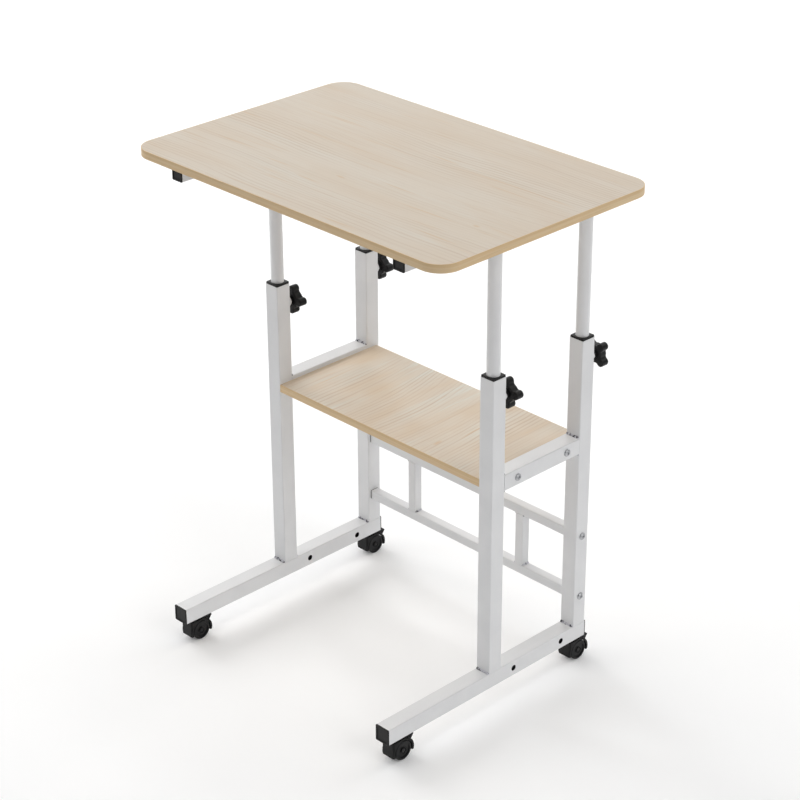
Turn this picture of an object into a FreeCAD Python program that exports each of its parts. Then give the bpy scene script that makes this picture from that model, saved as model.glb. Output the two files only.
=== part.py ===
import FreeCAD, Part
import os
import re

import Sketcher
from FreeCAD import Placement, Rotation, Vector

# A rolling laptop desk. A wooden top stands on two round tubes a side, which telescope in square posts
# and are clamped there by star knobs. The posts stand on long feet with a braked twin-wheel castor at
# each end, and a low shelf and a back brace join the two side frames.
# Millimetres, +Z up. The user sits on the -Y side. The origin is on the floor, under the middle of the
# desk's outer box, and the top stands at the height that it has in the picture.

# Driving sizes, each in a cell of the sheet.
SIZES = {
    # Tabletop and its edge band
    "table_height": 760.0,
    "table_width": 600.0,
    "table_depth": 400.0,
    "table_thickness": 12.0,
    "table_corner_radius": 32.0,
    "table_rear_overhang": 38.0,
    "table_side_overhang": 84.0,
    "band_thickness": 1.0,
    "band_ease": 0.6,
    # Rails under the top, and the screws that hold it
    "rail_size": 20.0,
    "rail_wall": 1.2,
    "rail_setback": 10.0,
    "rail_cap_flange": 2.0,
    "screw_diameter": 4.0,
    "screw_head_diameter": 8.0,
    "screw_head_height": 2.4,
    "screw_head_round": 1.2,
    "screw_bite": 9.0,
    "screw_pitch": 96.0,
    # Telescoping tubes and the bushes that guide them
    "tube_diameter": 19.0,
    "tube_wall": 1.2,
    "tube_engagement": 124.5,
    "bush_flange": 3.0,
    "bush_inset": 0.5,
    "bush_skirt": 25.0,
    # Posts and feet
    "post_size": 25.0,
    "post_wall": 1.2,
    "post_length": 460.0,
    "post_spacing_y": 177.0,
    "square_corner_radius": 1.6,
    "foot_size": 25.0,
    "foot_wall": 1.2,
    "foot_length": 398.0,
    "foot_hole_diameter": 9.0,
    "cap_flange": 2.0,
    "cap_plug": 8.0,
    "cap_ease": 0.8,
    "cap_rim": 2.6,
    "cap_panel_depth": 0.7,
    # Shelf, the rails that carry it, and its bolts
    "mid_rail_size": 25.0,
    "mid_rail_wall": 1.2,
    "mid_rail_rise": 298.0,
    "shelf_thickness": 12.0,
    "shelf_depth": 196.0,
    "shelf_setback": 0.5,
    "shelf_bolt_pitch": 100.0,
    "shelf_bolt_length": 50.0,
    "barrel_diameter": 10.0,
    "barrel_length": 10.0,
    "barrel_inset": 20.0,
    # Button-head bolts
    "bolt_diameter": 6.0,
    "bolt_head_diameter": 11.0,
    "bolt_head_height": 3.5,
    "bolt_head_round": 1.8,
    "bolt_socket_flats": 4.0,
    "bolt_socket_depth": 2.0,
    # Back brace
    "bar_size": 15.0,
    "bar_wall": 1.2,
    "lower_bar_rise": 48.0,
    "bar_spacing": 100.0,
    "upright_spacing": 225.0,
    "insert_flange": 1.0,
    "insert_length": 16.0,
    "back_bolt_length": 40.0,
    # Clamp knobs
    "knob_drop": 34.5,
    "knob_standoff": 11.5,
    "knob_thickness": 13.5,
    "knob_core_radius": 13.2,
    "lobe_radius": 5.8,
    "lobe_pitch_radius": 16.2,
    "lobe_blend": 3.8,
    "lobe_count": 4,
    "knob_rim_round": 2.0,
    "knob_dish_radius": 8.5,
    "knob_dish_depth": 1.0,
    "hub_diameter": 15.0,
    "hub_length": 3.0,
    "stud_diameter": 8.0,
    "stud_bite": 9.0,
    "stud_tip_gap": 0.3,
    "clamp_nut_flats": 13.0,
    "clamp_nut_thickness": 8.0,
    # Castors: wheels and axle
    "castor_inset": 19.0,
    "castor_trail": 10.0,
    "wheel_radius": 15.0,
    "wheel_width": 6.6,
    "wheel_side_gap": 0.35,
    "wheel_tread_round": 1.2,
    "dish_outer_radius": 11.5,
    "dish_depth": 1.2,
    "wheel_hub_radius": 5.0,
    "hub_recess": 1.4,
    "axle_diameter": 4.0,
    "axle_head_diameter": 6.6,
    "axle_head_thickness": 0.8,
    "axle_end_play": 0.3,
    # Castors: hood, stem and brake pedal
    "web_thickness": 8.0,
    "web_boss_radius": 6.5,
    "hood_gap": 1.5,
    "hood_wall": 3.0,
    "hood_headroom": 3.0,
    "hood_width": 22.8,
    "hood_front": 20.0,
    "hood_skirt": 5.5,
    "hood_corner_radius": 2.5,
    "hood_top_round": 2.0,
    "collar_diameter": 12.0,
    "collar_thickness": 2.0,
    "collar_gap": 0.3,
    "stem_pin_diameter": 5.0,
    "stem_pin_length": 17.0,
    "stem_thread_diameter": 8.0,
    "stem_protrusion": 1.5,
    "castor_nut_flats": 13.0,
    "castor_nut_thickness": 6.5,
    "pedal_width": 14.0,
    "pedal_side_gap": 0.4,
    "pedal_reach": 22.5,
    "pedal_drop": 3.5,
    "pedal_tip": 1.4,
    "pedal_knuckle": 2.9,
    "pedal_pin_radius": 1.3,
    "lug_radius": 3.0,
    "lug_thickness": 2.6,
    "pivot_y_share": 0.385,
    "pivot_z_share": 0.923,
    "shoe_y_share": 0.887,
    "shoe_z_share": 0.441,
    "heel_y_share": 0.728,
    "heel_z_share": 0.656,
    "slot_front_share": 0.2,
    "slot_root_y_share": 0.7,
    "slot_foot_share": 0.236,
    "slot_top_share": 0.75,
    # Clearances, all radial or per side
    "slide_clearance": 0.06,
    "plug_clearance": 0.1,
    "seat_clearance": 0.05,
    "bolt_hole_clearance": 0.3,
    "drill_allowance": 2.0,
}

# Places and sizes that follow from the driving ones.
PLACES = {
    "post_spacing_x": "table_width - 2 * table_side_overhang",
    "post_x": "post_spacing_x / 2",
    "table_front_overhang": "table_depth - table_rear_overhang - post_spacing_y",
    "foot_reach": "foot_length - post_spacing_y - post_size / 2",
    "front_y": "(foot_reach + cap_flange + table_front_overhang - table_depth) / 2",
    "rear_y": "front_y + post_spacing_y",
    "middle_y": "front_y + post_spacing_y / 2",
    "table_y": "front_y - table_front_overhang + table_depth / 2",
    "table_underside": "table_height - table_thickness",
    "rail_length": "table_depth - 2 * rail_setback - 2 * rail_cap_flange",
    "rail_z": "table_underside - rail_size / 2",
    "rail_underside": "table_underside - rail_size",
    "hood_radius": "wheel_radius + hood_gap + hood_wall",
    "castor_height": "wheel_radius + hood_radius + hood_headroom",
    "foot_z": "castor_height + foot_size / 2",
    "foot_top": "castor_height + foot_size",
    "foot_front": "front_y - foot_reach",
    "foot_rear": "rear_y + post_size / 2",
    "post_top": "foot_top + post_length",
    "tube_length": "rail_underside - post_top + tube_engagement",
    "inner_face": "post_x - post_size / 2",
    "outer_face": "post_x + post_size / 2",
    "mid_rail_x": "outer_face - mid_rail_size / 2",
    "mid_rail_length": "post_spacing_y - post_size",
    "shelf_z": "foot_top + mid_rail_rise",
    "shelf_end": "outer_face - mid_rail_size",
    "shelf_y": "front_y - post_size / 2 + shelf_setback + shelf_depth / 2",
    "shelf_hole_depth": "shelf_bolt_length - mid_rail_size + drill_allowance",
    "bolt_hole": "bolt_diameter + 2 * bolt_hole_clearance",
    "bolt_thread": "bolt_diameter + 2 * seat_clearance",
    "lower_bar_z": "foot_top + lower_bar_rise",
    "upper_bar_z": "lower_bar_z + bar_spacing",
    "bar_end": "inner_face - insert_flange",
    "knob_z": "post_top - knob_drop",
    "stud_hole": "stud_diameter + 2 * slide_clearance",
    "stud_inset": "post_size / 2 - tube_diameter / 2 - stud_tip_gap",
    "hood_top": "hood_radius + hood_headroom - collar_thickness - collar_gap",
    "pin_foot": "hood_radius + hood_headroom - collar_thickness - stem_pin_length",
    "pivot_y": "pivot_y_share * hood_radius",
    "pivot_z": "pivot_z_share * hood_radius",
    "slot_width": "pedal_width + 2 * pedal_side_gap",
    "wheel_inner": "web_thickness / 2 + wheel_side_gap",
    "axle_half": "wheel_inner + wheel_width - hub_recess + axle_end_play",
}

SCREW_ROW_SHARES = (-1.5, -0.5, 0.5, 1.5)
KNOB_TURNS = {"front_right": -6, "rear_right": 42}
CLOSE = 1e-4

UPRIGHT = Rotation()
TO_REAR = Rotation(Vector(1, 0, 0), -90)
TO_FRONT = Rotation(Vector(1, 0, 0), 90)
TO_RIGHT = Rotation(Vector(0, 1, 0), 90)
TO_LEFT = Rotation(Vector(0, 1, 0), -90)
DOWN = Rotation(Vector(1, 0, 0), 180)
HALF_TURN = Rotation(Vector(0, 0, 1), 180)

SIDES = {"left": ("-1", TO_LEFT), "right": ("1", TO_RIGHT)}
POST_ROWS = {"front": "front_y", "rear": "rear_y"}
STEM_ROWS = {"front": "foot_front + castor_inset", "rear": "foot_rear - castor_inset"}

doc = FreeCAD.newDocument("rolling_desk")
sheet = doc.addObject("Spreadsheet::Sheet", "Sizes")
for row_number, (size_name, size) in enumerate(SIZES.items(), start=1):
    sheet.set(f"A{row_number}", size_name)
    sheet.set(f"B{row_number}", str(size))
    sheet.setAlias(f"B{row_number}", size_name)
doc.recompute()

nodes = []


# Formulas on the sheet

def cells(formula):
    """Write out a formula on named sizes as one on the sheet's cells."""
    def expand(match):
        name = match.group()
        if name in PLACES:
            return f"({cells(PLACES[name])})"
        return f"Sizes.{name}" if name in SIZES else name
    return re.sub(r"[a-z]\w*", expand, formula)


def number(formula):
    """The value of a formula, in millimetres."""
    return float(sheet.evalExpression(cells(formula)))


def bind(item, path, formula):
    """Tie a property of an object to a formula."""
    item.setExpression(path, cells(formula))


def put(item, x="0", y="0", z="0", turn=UPRIGHT):
    """Turn an object and tie its place to formulas."""
    item.Placement = Placement(Vector(), turn)
    for axis, formula in zip("xyz", (x, y, z)):
        if formula != "0":
            bind(item, f"Placement.Base.{axis}", formula)


# Sketches

def new_body(label):
    """Start a piece."""
    body = doc.addObject("PartDesign::Body", label)
    body.Label = label
    return body


def new_sketch(body, plane="XY_Plane", lift="0"):
    """Add a sketch on one of the piece's own planes, lifted along the plane's normal."""
    sketch = body.newObject("Sketcher::SketchObject", f"{body.Name}_sketch")
    support = next(item for item in body.Origin.OriginFeatures if item.Role == plane)
    sketch.AttachmentSupport = [(support, "")]
    sketch.MapMode = "FlatFace"
    if lift != "0":
        bind(sketch, "AttachmentOffset.Base.z", lift)
    return sketch


def measure(sketch, kind, ends, formula):
    """Add a measured constraint that follows a formula."""
    index = sketch.addConstraint(Sketcher.Constraint(kind, *ends, number(formula)))
    bind(sketch, f"Constraints[{index}]", formula)


def fix_point(sketch, geometry, point, x, y):
    """Hold a point of the sketch at x, y, on an axis where a formula is zero."""
    for kind, formula, axis in (("DistanceX", x, -2), ("DistanceY", y, -1)):
        if formula == "0":
            sketch.addConstraint(Sketcher.Constraint("PointOnObject", geometry, point, axis))
        else:
            measure(sketch, kind, (-1, 1, geometry, point), formula)


def outline(sketch, points):
    """Draw a closed outline of straight lines through points given as formulas."""
    first = sketch.GeometryCount
    corners = [Vector(number(x), number(y), 0) for x, y in points]
    for start, end in zip(corners, corners[1:] + corners[:1]):
        sketch.addGeometry(Part.LineSegment(start, end), False)
    for index, (x, y) in enumerate(points):
        following = first + (index + 1) % len(points)
        sketch.addConstraint(Sketcher.Constraint("Coincident", first + index, 2, following, 1))
    for index, (x, y) in enumerate(points):
        fix_point(sketch, first + index, 1, x, y)


def rectangle(sketch, width, depth, x="0", y="0"):
    """Draw a rectangle about the point x, y."""
    low_x, high_x = f"{x} - ({width}) / 2", f"{x} + ({width}) / 2"
    low_y, high_y = f"{y} - ({depth}) / 2", f"{y} + ({depth}) / 2"
    outline(sketch, [(low_x, low_y), (high_x, low_y), (high_x, high_y), (low_x, high_y)])


def hexagon(sketch, flats):
    """Draw a regular hexagon about the sketch's origin, sized across its flats."""
    point, half = f"{flats} / sqrt(3)", f"{flats} / sqrt(12)"
    outline(sketch, [(point, "0"), (half, f"{flats} / 2"), (f"-{half}", f"{flats} / 2"),
                     (f"-{point}", "0"), (f"-{half}", f"-{flats} / 2"), (half, f"-{flats} / 2")])


def circle(sketch, diameter, x="0", y="0"):
    """Draw a circle about the point x, y."""
    middle = Vector(number(x), number(y), 0)
    shape = Part.Circle(middle, Vector(0, 0, 1), number(f"({diameter}) / 2"))
    index = sketch.addGeometry(shape, False)
    fix_point(sketch, index, 3, x, y)
    measure(sketch, "Diameter", (index,), diameter)


# Features

def pad(body, sketch, length, both_ways=False, flip=False):
    """Raise a sketch into a solid."""
    feature = body.newObject("PartDesign::Pad", f"{body.Name}_pad")
    feature.Profile = sketch
    feature.SideType = "Symmetric" if both_ways else "One side"
    feature.Reversed = flip
    bind(feature, "Length", length)
    return feature


def cut(body, sketch, depth=None, both_ways=False, flip=False):
    """Cut a sketch out of the piece, right through where no depth is given."""
    feature = body.newObject("PartDesign::Pocket", f"{body.Name}_cut")
    feature.Profile = sketch
    feature.SideType = "Symmetric" if both_ways else "One side"
    feature.Reversed = flip
    if depth is None:
        feature.Type = "ThroughAll"
    else:
        bind(feature, "Length", depth)
    return feature


def drill(body, plane, diameter, places, both_ways=False, flip=False):
    """Drill round holes square to one of the piece's planes."""
    sketch = new_sketch(body, plane)
    for x, y in places:
        circle(sketch, diameter, x, y)
    cut(body, sketch, both_ways=both_ways, flip=flip)


def turned(label, start, steps):
    """Turn a stepped round piece about Z, from radius and length pairs, upwards from start."""
    body = new_body(label)
    points, level = [("0", start)], start
    for radius, length in steps:
        points.append((radius, level))
        level = f"{level} + {length}"
        points.append((radius, level))
    points.append(("0", level))
    sketch = new_sketch(body, "XZ_Plane")
    outline(sketch, points)
    feature = body.newObject("PartDesign::Revolution", f"{label}_turning")
    feature.Profile = sketch
    feature.ReferenceAxis = (sketch, ["V_Axis"])
    return body


def round_edges(body, radius, wanted):
    """Round the edges of the piece that a test picks."""
    doc.recompute()
    base = body.Tip
    picked = [f"Edge{index}" for index, edge in enumerate(base.Shape.Edges, start=1) if wanted(edge)]
    feature = body.newObject("PartDesign::Fillet", f"{body.Name}_rounding")
    feature.Base = (base, picked)
    bind(feature, "Radius", radius)
    return feature


def middle_of(edge):
    """The point half way along an edge."""
    return edge.valueAt((edge.FirstParameter + edge.LastParameter) / 2)


def off_axis(edge):
    """How far the middle of an edge lies from the Z axis."""
    point = middle_of(edge)
    return Vector(point.x, point.y, 0).Length


def is_upright(edge):
    """Whether an edge is a straight line along Z."""
    return isinstance(edge.Curve, Part.Line) and abs(edge.tangentAt(edge.FirstParameter).z) > 1 - CLOSE


def is_at(value, formula):
    """Whether a coordinate equals a formula."""
    return abs(value - number(formula)) < CLOSE


def is_corner(width, depth):
    """A test for upright edges at the corners of a rectangle."""
    def test(edge):
        point = middle_of(edge)
        on_sides = is_at(abs(point.x), f"({width}) / 2") and is_at(abs(point.y), f"({depth}) / 2")
        return is_upright(edge) and on_sides
    return test


def is_ring(radius, level):
    """A test for round edges about Z at a level."""
    def test(edge):
        return is_at(middle_of(edge).z, level) and is_at(off_axis(edge), radius)
    return test


# Nodes

def node(body, x="0", y="0", z="0", turn=UPRIGHT):
    """Place a piece as a sub-part of its own."""
    put(body, x, y, z, turn)
    nodes.append(body)


def group(label, master, places):
    """Place copies of one piece as a single sub-part of separate solids."""
    copies = []
    for x, y, z, turn in places:
        copy = doc.addObject("App::Link", f"{label}_copy")
        copy.LinkedObject = master
        put(copy, x, y, z, turn)
        copies.append(copy)
    compound = doc.addObject("Part::Compound", label)
    compound.Label = label
    compound.Links = copies
    nodes.append(compound)


def corners(rows):
    """Each corner of the desk: its name, the formulas of its place, and the turn to its outer side."""
    for row, y in rows.items():
        for side, (sign, turn) in SIDES.items():
            yield f"{row}_{side}", f"{sign} * post_x", y, turn


# Shared forms

def square_tube(label, size, wall, length):
    """A square tube along Z with rounded corners."""
    body = new_body(label)
    section = new_sketch(body)
    rectangle(section, size, size)
    rectangle(section, f"{size} - 2 * {wall}", f"{size} - 2 * {wall}")
    pad(body, section, length)
    round_edges(body, "square_corner_radius", is_corner(size, size))
    return body


def end_cap(label, size, wall, flange):
    """A moulded cap that plugs a square tube's end, its rimmed outer face towards +Z."""
    body = new_body(label)
    face = new_sketch(body)
    rectangle(face, size, size)
    pad(body, face, flange)
    round_edges(body, "square_corner_radius", is_corner(size, size))
    round_edges(body, "cap_ease", lambda edge: is_at(middle_of(edge).z, flange))
    panel = new_sketch(body, lift=flange)
    rectangle(panel, f"{size} - 2 * cap_rim", f"{size} - 2 * cap_rim")
    cut(body, panel, "cap_panel_depth")
    plug = new_sketch(body)
    plug_size = f"{size} - 2 * {wall} - 2 * plug_clearance"
    rectangle(plug, plug_size, plug_size)
    pad(body, plug, "cap_plug", flip=True)
    return body


def hex_nut(label, flats, thickness, bore):
    """A hexagon nut that sits on Z = 0."""
    body = new_body(label)
    sketch = new_sketch(body)
    hexagon(sketch, flats)
    circle(sketch, bore)
    pad(body, sketch, thickness)
    return body


def button_bolt(label, length):
    """A socket button-head bolt whose head sits on Z = 0 and whose shank points down."""
    head_radius = "bolt_head_diameter / 2"
    body = turned(label, f"-{length}", [("bolt_diameter / 2", length), (head_radius, "bolt_head_height")])
    round_edges(body, "bolt_head_round", is_ring(head_radius, "bolt_head_height"))
    socket = new_sketch(body, lift="bolt_head_height")
    hexagon(socket, "bolt_socket_flats")
    cut(body, socket, "bolt_socket_depth")
    return body


# The top and what slides with it

def make_tabletop():
    """The board, with pilot holes for its screws, and the band round its edge."""
    board = new_body("tabletop")
    width, depth = "table_width - 2 * band_thickness", "table_depth - 2 * band_thickness"
    sketch = new_sketch(board)
    rectangle(sketch, width, depth)
    pad(board, sketch, "table_thickness")
    round_edges(board, "table_corner_radius - band_thickness", is_corner(width, depth))
    pilots, pilot = new_sketch(board), "screw_diameter + 2 * seat_clearance"
    for sign, turn in SIDES.values():
        for share in SCREW_ROW_SHARES:
            circle(pilots, pilot, f"{sign} * post_x", f"{share} * screw_pitch")
    cut(board, pilots, "screw_bite + seat_clearance", flip=True)
    node(board, y="table_y", z="table_underside")

    band = new_body("tabletop_edge_band")
    ring = new_sketch(band)
    rectangle(ring, "table_width", "table_depth")
    rectangle(ring, width, depth)
    pad(band, ring, "table_thickness")
    round_edges(band, "table_corner_radius", is_corner("table_width", "table_depth"))
    round_edges(band, "table_corner_radius - band_thickness", is_corner(width, depth))

    def is_outer_rim(edge):
        point = middle_of(edge)
        if is_upright(edge):
            return False
        if isinstance(edge.Curve, Part.Circle):
            return is_at(edge.Curve.Radius, "table_corner_radius")
        return is_at(abs(point.x), "table_width / 2") or is_at(abs(point.y), "table_depth / 2")

    round_edges(band, "band_ease", is_outer_rim)
    node(band, y="table_y", z="table_underside")


def make_top_rails():
    """The two rails under the top, their end caps and the screws through them."""
    for side, (sign, turn) in SIDES.items():
        rail = square_tube(f"top_rail_{side}", "rail_size", "rail_wall", "rail_length")
        holes = [("0", f"rail_length / 2 + {share} * screw_pitch") for share in SCREW_ROW_SHARES]
        drill(rail, "XZ_Plane", "screw_diameter + 2 * bolt_hole_clearance", holes, both_ways=True)
        node(rail, f"{sign} * post_x", "table_y - rail_length / 2", "rail_z", TO_REAR)

    cap = end_cap("top_rail_end_cap", "rail_size", "rail_wall", "rail_cap_flange")
    ends = []
    for sign, turn in SIDES.values():
        ends.append((f"{sign} * post_x", "table_y - rail_length / 2", "rail_z", TO_FRONT))
        ends.append((f"{sign} * post_x", "table_y + rail_length / 2", "rail_z", TO_REAR))
    group("top_rail_end_caps", cap, ends)

    shank = "rail_size + screw_bite"
    head_radius = "screw_head_diameter / 2"
    steps = [("screw_diameter / 2", shank), (head_radius, "screw_head_height")]
    screw = turned("tabletop_screw", f"-({shank})", steps)
    round_edges(screw, "screw_head_round", is_ring(head_radius, "screw_head_height"))
    group("tabletop_screws", screw, [
        (f"{sign} * post_x", f"table_y + {share} * screw_pitch", "rail_underside", DOWN)
        for sign, turn in SIDES.values() for share in SCREW_ROW_SHARES])


def make_inner_tubes():
    """The round tubes that hang from the rails and slide in the posts."""
    for corner, x, y, turn in corners(POST_ROWS):
        tube = new_body(f"inner_tube_{corner}")
        section = new_sketch(tube)
        circle(section, "tube_diameter")
        circle(section, "tube_diameter - 2 * tube_wall")
        pad(tube, section, "tube_length")
        node(tube, x, y, "rail_underside - tube_length")


# The base frame

def make_posts():
    """The four posts, holed for the clamp studs and, at the rear, for the brace bolts."""
    for corner, x, y, turn in corners(POST_ROWS):
        post = square_tube(f"post_{corner}", "post_size", "post_wall", "post_length")
        drill(post, "XZ_Plane", "stud_hole", [("0", "post_length - knob_drop")])
        if corner.startswith("rear"):
            heights = [("0", "lower_bar_rise"), ("0", "lower_bar_rise + bar_spacing")]
            drill(post, "YZ_Plane", "bolt_hole", heights, both_ways=True)
        node(post, x, y, "foot_top")

    bush = new_body("tube_bush")
    flange, flange_size = new_sketch(bush), "post_size - 2 * bush_inset"
    rectangle(flange, flange_size, flange_size)
    pad(bush, flange, "bush_flange")
    round_edges(bush, "square_corner_radius", is_corner(flange_size, flange_size))
    round_edges(bush, "cap_ease", lambda edge: is_at(middle_of(edge).z, "bush_flange"))
    skirt, skirt_size = new_sketch(bush), "post_size - 2 * post_wall - 2 * plug_clearance"
    rectangle(skirt, skirt_size, skirt_size)
    pad(bush, skirt, "bush_skirt", flip=True)
    drill(bush, "XY_Plane", "tube_diameter + 2 * slide_clearance", [("0", "0")], both_ways=True)
    group("tube_bushes", bush, [(x, y, "post_top", UPRIGHT) for corner, x, y, turn in corners(POST_ROWS)])


def make_feet():
    """The two feet, holed for the castor stems and for the low shelf position, and their end caps."""
    for side, (sign, turn) in SIDES.items():
        foot = square_tube(f"foot_{side}", "foot_size", "foot_wall", "foot_length")
        stems = [("0", "castor_inset"), ("0", "foot_length - castor_inset")]
        drill(foot, "XZ_Plane", "stem_thread_diameter + 2 * bolt_hole_clearance", stems)
        low_shelf = [("0", f"middle_y - foot_front {step} shelf_bolt_pitch / 2") for step in "-+"]
        drill(foot, "YZ_Plane", "foot_hole_diameter", low_shelf, both_ways=True)
        node(foot, f"{sign} * post_x", "foot_front", "foot_z", TO_REAR)

    cap = end_cap("foot_end_cap", "foot_size", "foot_wall", "cap_flange")
    ends = []
    for sign, turn in SIDES.values():
        ends.append((f"{sign} * post_x", "foot_front", "foot_z", TO_FRONT))
        ends.append((f"{sign} * post_x", "foot_rear", "foot_z", TO_REAR))
    group("foot_end_caps", cap, ends)


def make_shelf():
    """The rails that carry the shelf, the shelf with its edge bands, and its bolts and barrel nuts."""
    half_pitch = "shelf_bolt_pitch / 2"
    for side, (sign, turn) in SIDES.items():
        rail = square_tube(f"mid_rail_{side}", "mid_rail_size", "mid_rail_wall", "mid_rail_length")
        holes = [("0", f"mid_rail_length / 2 {step} {half_pitch}") for step in "-+"]
        drill(rail, "YZ_Plane", "bolt_hole", holes, both_ways=True)
        node(rail, f"{sign} * mid_rail_x", "front_y + post_size / 2", "shelf_z", TO_REAR)

    shelf = new_body("shelf")
    sketch = new_sketch(shelf)
    rectangle(sketch, "2 * shelf_end", "shelf_depth - 2 * band_thickness")
    pad(shelf, sketch, "shelf_thickness", both_ways=True)
    rows = [f"middle_y - shelf_y {step} {half_pitch}" for step in "-+"]
    nut_hole = "barrel_diameter + 2 * seat_clearance"
    for sign, flip in (("1", False), ("-1", True)):
        ends = new_sketch(shelf, "YZ_Plane", lift=f"{sign} * shelf_end")
        nut_holes = new_sketch(shelf, lift="-shelf_thickness / 2")
        for row in rows:
            circle(ends, "bolt_hole", row, "0")
            circle(nut_holes, nut_hole, f"{sign} * (shelf_end - barrel_inset)", row)
        cut(shelf, ends, "shelf_hole_depth", flip=flip)
        cut(shelf, nut_holes, "(shelf_thickness + barrel_length) / 2", flip=True)
    node(shelf, y="shelf_y", z="shelf_z")

    band = new_body("shelf_edge_band")
    strip = new_sketch(band, lift="-shelf_thickness / 2")
    rectangle(strip, "2 * shelf_end", "band_thickness", y="-band_thickness / 2")
    pad(band, strip, "shelf_thickness")
    round_edges(band, "band_ease", lambda edge: (
        is_at(middle_of(edge).y, "-band_thickness") and is_at(middle_of(edge).x, "0")))
    inset = "(shelf_depth / 2 - band_thickness)"
    group("shelf_edge_bands", band, [
        ("0", f"shelf_y - {inset}", "shelf_z", UPRIGHT), ("0", f"shelf_y + {inset}", "shelf_z", HALF_TURN)])

    nut = new_body("shelf_barrel_nut")
    round_bar = new_sketch(nut)
    circle(round_bar, "barrel_diameter")
    pad(nut, round_bar, "barrel_length", both_ways=True)
    drill(nut, "YZ_Plane", "bolt_thread", [("0", "0")], both_ways=True)
    bolt = button_bolt("shelf_bolt", "shelf_bolt_length")
    spots = [(sign, turn, f"middle_y {step} {half_pitch}") for sign, turn in SIDES.values() for step in "-+"]
    group("shelf_barrel_nuts", nut, [
        (f"{sign} * (shelf_end - barrel_inset)", y, "shelf_z", UPRIGHT) for sign, turn, y in spots])
    group("shelf_bolts", bolt, [(f"{sign} * outer_face", y, "shelf_z", turn) for sign, turn, y in spots])


def make_back_brace():
    """Two cross bars with two uprights between them, bolted between the rear posts."""
    for name, height in (("upper", "upper_bar_z"), ("lower", "lower_bar_z")):
        bar = square_tube(f"back_{name}_bar", "bar_size", "bar_wall", "2 * bar_end")
        node(bar, "-bar_end", "rear_y", height, TO_RIGHT)

    upright = square_tube("back_upright", "bar_size", "bar_wall", "bar_spacing - bar_size")
    group("back_uprights", upright, [
        (f"{sign} * upright_spacing / 2", "rear_y", "lower_bar_z + bar_size / 2", UPRIGHT)
        for sign, turn in SIDES.values()])

    insert = new_body("bar_end_insert")
    flange = new_sketch(insert)
    rectangle(flange, "bar_size", "bar_size")
    pad(insert, flange, "insert_flange")
    round_edges(insert, "square_corner_radius", is_corner("bar_size", "bar_size"))
    plug, plug_size = new_sketch(insert), "bar_size - 2 * bar_wall - 2 * plug_clearance"
    rectangle(plug, plug_size, plug_size)
    pad(insert, plug, "insert_length", flip=True)
    drill(insert, "XY_Plane", "bolt_thread", [("0", "0")], both_ways=True)
    bolt = button_bolt("back_brace_bolt", "back_bolt_length")
    ends = [(sign, turn, z) for sign, turn in SIDES.values() for z in ("lower_bar_z", "upper_bar_z")]
    group("bar_end_inserts", insert, [(f"{sign} * bar_end", "rear_y", z, turn) for sign, turn, z in ends])
    group("back_brace_bolts", bolt, [(f"{sign} * outer_face", "rear_y", z, turn) for sign, turn, z in ends])


# Clamp knobs, turning about Y behind each post

def star_knob(label):
    """A four-lobe knob about Z that stands off the post's face at Z = 0."""
    knob = new_body(label)
    core = new_sketch(knob, lift="knob_standoff")
    circle(core, "2 * knob_core_radius")
    pad(knob, core, "knob_thickness")
    lobe = new_sketch(knob, lift="knob_standoff")
    circle(lobe, "2 * lobe_radius", y="-lobe_pitch_radius")
    lobe_pad = pad(knob, lobe, "knob_thickness")
    doc.recompute()
    ring = knob.newObject("PartDesign::PolarPattern", f"{label}_lobes")
    ring.Originals = [lobe_pad]
    ring.Axis = (core, ["N_Axis"])
    ring.Angle = 360
    bind(ring, "Occurrences", "lobe_count")
    knob.Tip = ring
    round_edges(knob, "lobe_blend", lambda edge: (
        is_upright(edge) and is_at(off_axis(edge), "knob_core_radius")))
    round_edges(knob, "knob_rim_round", lambda edge: not is_upright(edge))

    dish = new_sketch(knob, lift="knob_standoff + knob_thickness")
    circle(dish, "2 * knob_dish_radius")
    cut(knob, dish, "knob_dish_depth")
    hub = new_sketch(knob, lift="knob_standoff")
    circle(hub, "hub_diameter")
    pad(knob, hub, "hub_length", flip=True)
    bore = new_sketch(knob)
    circle(bore, "stud_diameter + 2 * seat_clearance")
    cut(knob, bore, "knob_standoff + stud_bite", flip=True)
    return knob


def make_knobs():
    """The weld nuts on the posts, and a knob and stud for each."""
    nut = hex_nut("clamp_nut", "clamp_nut_flats", "clamp_nut_thickness", "stud_hole")
    spots = []
    for corner, x, y, turn in corners(POST_ROWS):
        face_y = f"{y} + post_size / 2"
        spin = TO_REAR * Rotation(Vector(0, 0, 1), KNOB_TURNS.get(corner, 0))
        node(star_knob(f"knob_{corner}"), x, face_y, "knob_z", spin)
        reach = "stud_inset + knob_standoff + stud_bite"
        stud = turned(f"knob_stud_{corner}", "-stud_inset", [("stud_diameter / 2", reach)])
        node(stud, x, face_y, "knob_z", TO_REAR)
        spots.append((x, face_y, "knob_z", TO_REAR))
    group("clamp_nuts", nut, spots)


# Castors, each about its own axle, with the brake pedal towards the rear

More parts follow.
